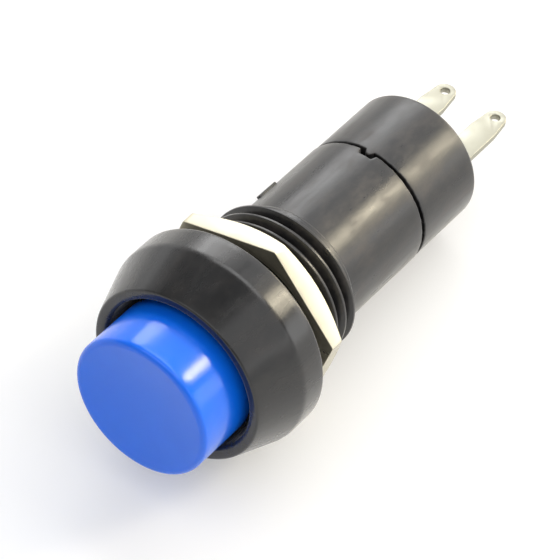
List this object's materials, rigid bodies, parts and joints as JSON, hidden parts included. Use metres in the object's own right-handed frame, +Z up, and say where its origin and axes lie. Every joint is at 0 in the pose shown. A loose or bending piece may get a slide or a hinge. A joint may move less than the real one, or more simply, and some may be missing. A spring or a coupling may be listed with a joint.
{
  "type": "panel pushbutton switch",
  "caption": "Round momentary pushbutton with a blue cap, black conical bezel, threaded barrel, hex nut and two solder terminals.",
  "frame": {"origin": "centre of the bezel's seat on the panel, on the switch's axis", "axes": "+Z is up from the bench that the loose switch lies on, -Y is the way the button points, +X to the side. The axis rises 7.4 degrees toward the button, because the bezel is wider than the base."},
  "size_m": [0.016, 0.0403, 0.0161],
  "materials": {
    "black_plastic": "fine moulded satin",
    "blue_plastic": "smooth",
    "white_plastic": "smooth",
    "nickel_plate": "bright plate",
    "tin_plate": "bright plate",
    "silver_plate": "satin plate",
    "spring_steel": "bright wire"
  },
  "bodies": {
    "body": {"housing": "black_plastic", "base": "black_plastic", "spring_seat": "white_plastic", "return_spring": "spring_steel", "terminal_left": "tin_plate", "terminal_right": "tin_plate", "fixed_contact_left": "silver_plate", "fixed_contact_right": "silver_plate"},
    "button": {"button_cap": "blue_plastic", "plunger": "white_plastic", "contact_spring": "spring_steel"},
    "disc": {"contact_disc": "silver_plate"},
    "nut": {"mounting_nut": "nickel_plate"}
  },
  "joints": [
    {"name": "button_press", "type": "slide", "parent": "body", "child": "button", "axis": [0, 0.9917, -0.1284], "range_m": [0, 0.003], "stiffness_N_per_m": 370, "springref_m": -0.003, "deforming": ["return_spring"]},
    {"name": "disc_lift", "type": "slide", "parent": "button", "child": "disc", "axis": [0, -0.9917, 0.1284], "range_m": [0, 0.0008], "stiffness_N_per_m": 330, "springref_m": -0.001, "deforming": ["contact_spring"]},
    {"name": "nut_travel", "type": "slide", "parent": "body", "child": "nut", "axis": [0, 0.9917, -0.1284], "range_m": [-0.00044, 0.005]}
  ]
}
